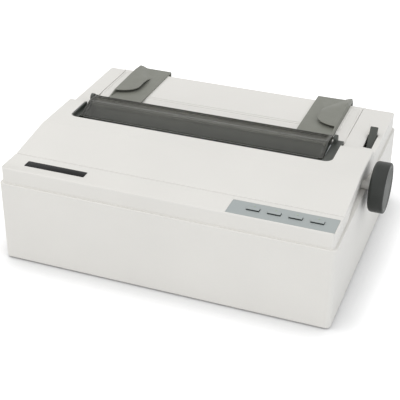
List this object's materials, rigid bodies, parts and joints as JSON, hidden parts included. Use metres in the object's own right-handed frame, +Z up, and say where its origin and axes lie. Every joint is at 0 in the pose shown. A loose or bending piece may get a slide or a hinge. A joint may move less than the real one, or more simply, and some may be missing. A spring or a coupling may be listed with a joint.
{
  "type": "dot matrix printer",
  "caption": "Flatbed impact printer with a low moulded case, lifting front cover, smoked cover over the platen, tilting paper table with sliding guides, side knob and control panel.",
  "frame": {"origin": "on the floor, under the middle of the whole machine with its knob and paper guides", "axes": "+X to the right seen from the front, +Y to the rear, +Z up"},
  "size_m": [0.4136, 0.3102, 0.1331],
  "materials": {
    "case_white": "fine moulded texture",
    "smoked_clear": "smoked see-through plastic",
    "warm_grey": "satin moulded plastic",
    "dark_grey": "satin moulded plastic",
    "panel_grey": "printed sheet",
    "light_lens": "clear moulded lens",
    "zinc_sheet": "zinc plated sheet",
    "steel": "ground steel",
    "rubber": "ground rubber",
    "black_plastic": "fine moulded texture",
    "acetal": "moulded acetal",
    "board_green": "solder resist",
    "core_iron": "varnished core",
    "head_alloy": "die cast",
    "belt_rubber": "moulded belt",
    "ribbon_cloth": "inked woven ribbon"
  },
  "bodies": {
    "machine": {"lower_case": "case_white", "feet": "rubber", "case_screws": "steel", "upper_case": "case_white", "gear_guard_left": "dark_grey", "gear_guard_right": "dark_grey", "panel_plate": "panel_grey", "panel_board": "board_green", "status_lights": "light_lens", "side_frame_left": "zinc_sheet", "side_frame_right": "zinc_sheet", "chassis_plate": "zinc_sheet", "carriage_rail": "zinc_sheet", "paper_pan": "zinc_sheet", "platen_bushes": "acetal", "feed_motor": "black_plastic", "guide_shaft": "steel", "timing_belt": "belt_rubber", "carriage_motor": "black_plastic", "ribbon_cartridge": "black_plastic", "ribbon_strip": "ribbon_cloth", "tractor_rail": "steel", "main_board": "board_green", "transformer": "core_iron", "power_inlet": "black_plastic", "interface_connector": "zinc_sheet"},
    "front_cover": {"front_cover": "case_white"},
    "smoked_cover": {"smoked_cover": "smoked_clear"},
    "paper_table": {"paper_table": "case_white"},
    "guide_left": {"guide_left": "warm_grey"},
    "guide_right": {"guide_right": "warm_grey"},
    "button_1": {"button_1": "panel_grey"},
    "button_2": {"button_2": "panel_grey"},
    "button_3": {"button_3": "panel_grey"},
    "button_4": {"button_4": "panel_grey"},
    "platen": {"platen_shaft": "steel", "platen_roller": "rubber", "platen_knob": "dark_grey", "platen_gear": "acetal", "drive_gear": "acetal"},
    "reduction_gear": {"reduction_gear": "acetal"},
    "feed_pinion": {"feed_pinion": "steel"},
    "pinch_rollers": {"pinch_rollers": "rubber"},
    "idler_gear_front": {"idler_gear_front": "acetal"},
    "idler_gear_rear": {"idler_gear_rear": "acetal"},
    "tractor_drive": {"tractor_gear": "acetal", "tractor_shaft": "steel"},
    "tractor_left": {"tractor_left": "dark_grey"},
    "tractor_right": {"tractor_right": "dark_grey"},
    "tractor_flap_left": {"tractor_flap_left": "warm_grey"},
    "tractor_flap_right": {"tractor_flap_right": "warm_grey"},
    "carriage": {"carriage": "dark_grey", "print_head": "head_alloy"},
    "drive_pulley": {"drive_pulley": "steel"},
    "idler_pulley": {"idler_pulley": "acetal"},
    "ribbon_knob": {"ribbon_knob": "warm_grey"},
    "release_lever": {"release_lever": "dark_grey"},
    "power_switch": {"power_switch": "black_plastic"}
  },
  "joints": [
    {"name": "front_cover_hinge", "type": "hinge", "parent": "machine", "child": "front_cover", "pos_m": [-0.01175, 0.0186, 0.12525], "axis": [-1, 0, 0], "range_deg": [0, 100]},
    {"name": "smoked_cover_hinge", "type": "hinge", "parent": "machine", "child": "smoked_cover", "pos_m": [-0.01175, 0.03565, 0.1284], "axis": [-1, 0, 0], "range_deg": [0, 75]},
    {"name": "paper_table_hinge", "type": "hinge", "parent": "machine", "child": "paper_table", "pos_m": [-0.01175, 0.04825, 0.1169], "axis": [1, 0, 0], "range_deg": [0, 45]},
    {"name": "guide_left_slide", "type": "slide", "parent": "paper_table", "child": "guide_left", "axis": [1, 0, 0], "range_m": [-0.012, 0.06]},
    {"name": "guide_right_slide", "type": "slide", "parent": "paper_table", "child": "guide_right", "axis": [-1, 0, 0], "range_m": [-0.012, 0.13]},
    {"name": "button_1_press", "type": "slide", "parent": "machine", "child": "button_1", "axis": [0, 0, -1], "range_m": [0, 0.0008], "stiffness_N_per_m": 700, "springref_m": -0.0006},
    {"name": "button_2_press", "type": "slide", "parent": "machine", "child": "button_2", "axis": [0, 0, -1], "range_m": [0, 0.0008], "stiffness_N_per_m": 700, "springref_m": -0.0006},
    {"name": "button_3_press", "type": "slide", "parent": "machine", "child": "button_3", "axis": [0, 0, -1], "range_m": [0, 0.0008], "stiffness_N_per_m": 700, "springref_m": -0.0006},
    {"name": "button_4_press", "type": "slide", "parent": "machine", "child": "button_4", "axis": [0, 0, -1], "range_m": [0, 0.0008], "stiffness_N_per_m": 700, "springref_m": -0.0006},
    {"name": "platen_turn", "type": "hinge", "parent": "machine", "child": "platen", "pos_m": [-0.01175, -0.01565, 0.1043], "axis": [1, 0, 0], "continuous": true},
    {"name": "reduction_turn", "type": "hinge", "parent": "machine", "child": "reduction_gear", "pos_m": [-0.01175, -0.00382, 0.07892], "axis": [1, 0, 0], "continuous": true},
    {"name": "pinion_turn", "type": "hinge", "parent": "machine", "child": "feed_pinion", "pos_m": [-0.01175, 0.00675, 0.05627], "axis": [1, 0, 0], "continuous": true},
    {"name": "pinch_turn", "type": "hinge", "parent": "machine", "child": "pinch_rollers", "pos_m": [-0.01175, -0.01565, 0.083], "axis": [1, 0, 0], "continuous": true},
    {"name": "idler_front_turn", "type": "hinge", "parent": "machine", "child": "idler_gear_front", "pos_m": [-0.01175, 0.01582, 0.09438], "axis": [1, 0, 0], "continuous": true},
    {"name": "idler_rear_turn", "type": "hinge", "parent": "machine", "child": "idler_gear_rear", "pos_m": [-0.01175, 0.04825, 0.08415], "axis": [1, 0, 0], "continuous": true},
    {"name": "tractor_turn", "type": "hinge", "parent": "machine", "child": "tractor_drive", "pos_m": [-0.01175, 0.07972, 0.07423], "axis": [1, 0, 0], "continuous": true},
    {"name": "tractor_left_slide", "type": "slide", "parent": "machine", "child": "tractor_left", "axis": [1, 0, 0], "range_m": [-0.02, 0.08]},
    {"name": "tractor_right_slide", "type": "slide", "parent": "machine", "child": "tractor_right", "axis": [-1, 0, 0], "range_m": [-0.02, 0.08]},
    {"name": "flap_left_hinge", "type": "hinge", "parent": "tractor_left", "child": "tractor_flap_left", "pos_m": [-0.15065, 0.07972, 0.08783], "axis": [0, -1, 0], "range_deg": [0, 60]},
    {"name": "flap_right_hinge", "type": "hinge", "parent": "tractor_right", "child": "tractor_flap_right", "pos_m": [0.10405, 0.07972, 0.08783], "axis": [0, 1, 0], "range_deg": [0, 60]},
    {"name": "carriage_slide", "type": "slide", "parent": "machine", "child": "carriage", "axis": [1, 0, 0], "range_m": [0, 0.212]},
    {"name": "drive_pulley_turn", "type": "hinge", "parent": "machine", "child": "drive_pulley", "pos_m": [-0.16125, -0.06715, 0.048], "axis": [0, 0, 1], "range_deg": [0, 1400]},
    {"name": "idler_pulley_turn", "type": "hinge", "parent": "machine", "child": "idler_pulley", "pos_m": [0.11665, -0.06715, 0.048], "axis": [0, 0, 1], "range_deg": [0, 1400]},
    {"name": "ribbon_knob_turn", "type": "hinge", "parent": "machine", "child": "ribbon_knob", "pos_m": [-0.14825, -0.09115, 0.11], "axis": [0, 0, 1], "continuous": true},
    {"name": "release_lever_tilt", "type": "hinge", "parent": "machine", "child": "release_lever", "pos_m": [0.16445, 0.04785, 0.103], "axis": [1, 0, 0], "range_deg": [0, 40]},
    {"name": "power_switch_rock", "type": "hinge", "parent": "machine", "child": "power_switch", "pos_m": [-0.12875, 0.14085, 0.034], "axis": [1, 0, 0], "range_deg": [0, 14]}
  ],
  "couplings": [
    {"joint": "reduction_turn", "follows": "platen_turn", "ratio": -2.5},
    {"joint": "pinion_turn", "follows": "platen_turn", "ratio": 7.9167},
    {"joint": "pinch_turn", "follows": "platen_turn", "ratio": -3.2},
    {"joint": "idler_front_turn", "follows": "platen_turn", "ratio": -0.94118},
    {"joint": "idler_rear_turn", "follows": "platen_turn", "ratio": 0.94118},
    {"joint": "tractor_turn", "follows": "platen_turn", "ratio": -1},
    {"joint": "drive_pulley_turn", "follows": "carriage_slide", "rad_per_m": 114.94},
    {"joint": "idler_pulley_turn", "follows": "carriage_slide", "rad_per_m": 114.94}
  ]
}
